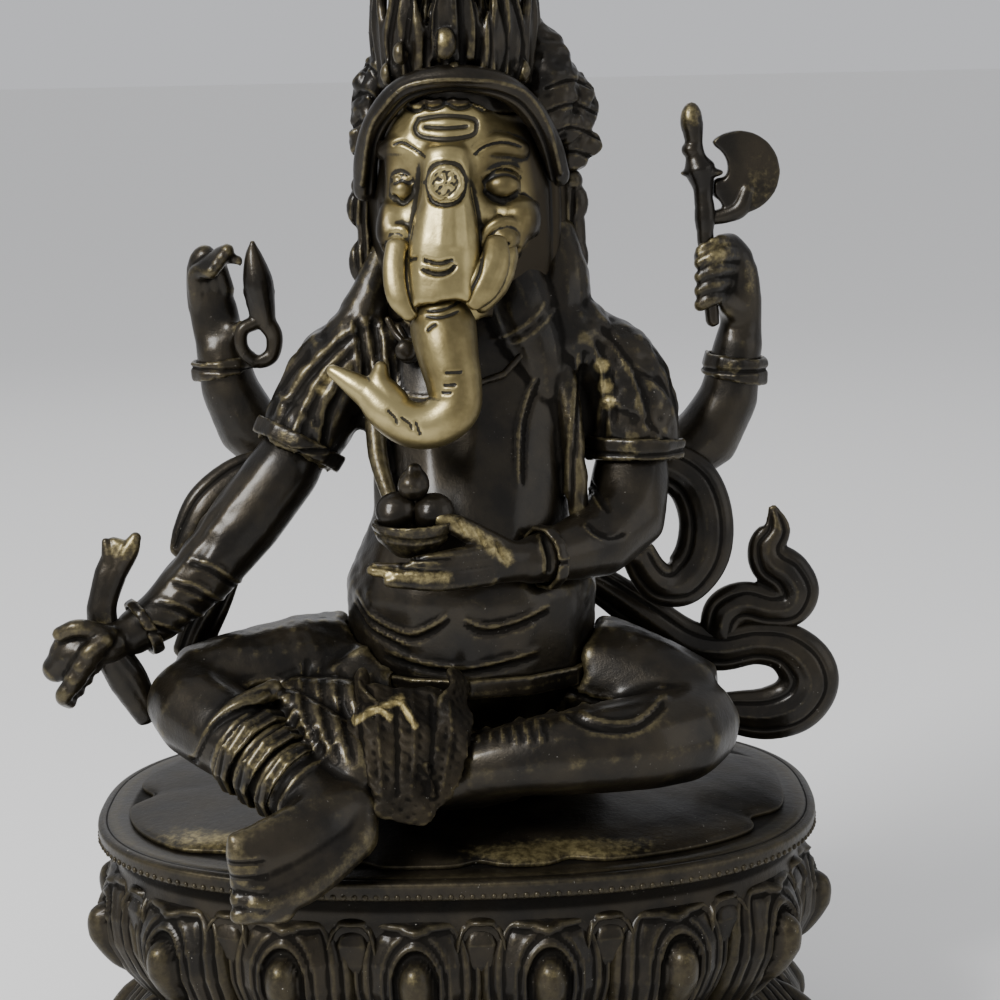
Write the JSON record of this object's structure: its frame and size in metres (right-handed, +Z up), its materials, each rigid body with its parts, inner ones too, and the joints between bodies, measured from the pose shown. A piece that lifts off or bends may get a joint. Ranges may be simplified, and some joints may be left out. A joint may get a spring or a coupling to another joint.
{
  "type": "ganesha idol",
  "caption": "Seated elephant-headed prayer idol holding an axe, noose and sweets bowl, on an oval double-lotus pedestal, in dark patinated bronze with rubbed brass highlights.",
  "frame": {"origin": "middle of the pedestal's underside, on the sealing plate", "axes": "+Z up, +X to the viewer's right, -Y towards the viewer in front of the figure"},
  "size_m": [0.2367, 0.1831, 0.3687],
  "materials": {
    "patinated_bronze": "dark brown-black patina on cast bronze, satin, with brass showing through on worn edges",
    "polished_brass": "hand-rubbed brass with dark patina left in the grooves",
    "copper_sheet": "dull brown copper sheet"
  },
  "bodies": {
    "root": {"anklet_1": "patinated_bronze", "anklet_2": "patinated_bronze", "anklet_3": "patinated_bronze", "axe_blade": "polished_brass", "axe_handle": "polished_brass", "base_plate": "copper_sheet", "belt": "patinated_bronze", "brow_roundel": "polished_brass", "crown": "patinated_bronze", "crown_band": "patinated_bronze", "crown_finial": "patinated_bronze", "crown_leaf_1": "patinated_bronze", "crown_leaf_2": "patinated_bronze", "crown_leaf_3": "patinated_bronze", "crown_leaf_4": "patinated_bronze", "crown_leaf_5": "patinated_bronze", "crown_side_left": "patinated_bronze", "crown_side_right": "patinated_bronze", "head": "polished_brass", "lap_cloth": "patinated_bronze", "left_armband": "patinated_bronze", "left_back_arm": "patinated_bronze", "left_back_bracelet": "patinated_bronze", "left_ear": "patinated_bronze", "left_front_arm": "patinated_bronze", "left_front_bracelet": "patinated_bronze", "left_tusk": "polished_brass", "lotus_pedestal": "patinated_bronze", "lower_body": "patinated_bronze", "necklace": "polished_brass", "noose": "patinated_bronze", "pendant": "polished_brass", "radish": "polished_brass", "right_armband": "patinated_bronze", "right_back_arm": "patinated_bronze", "right_back_bracelet": "patinated_bronze", "right_ear": "patinated_bronze", "right_front_arm": "patinated_bronze", "right_front_bracelet": "patinated_bronze", "right_tusk": "polished_brass", "scarf_left_curl": "patinated_bronze", "scarf_left_loop": "patinated_bronze", "scarf_left_tail": "patinated_bronze", "scarf_right": "patinated_bronze", "scarf_right_end": "patinated_bronze", "seat_cushion": "patinated_bronze", "sweet_1": "polished_brass", "sweet_2": "polished_brass", "sweet_3": "polished_brass", "sweets_bowl": "polished_brass", "tang_wedge_1": "copper_sheet", "tang_wedge_2": "copper_sheet", "torso": "patinated_bronze", "trunk": "polished_brass"}
  },
  "joints": []
}
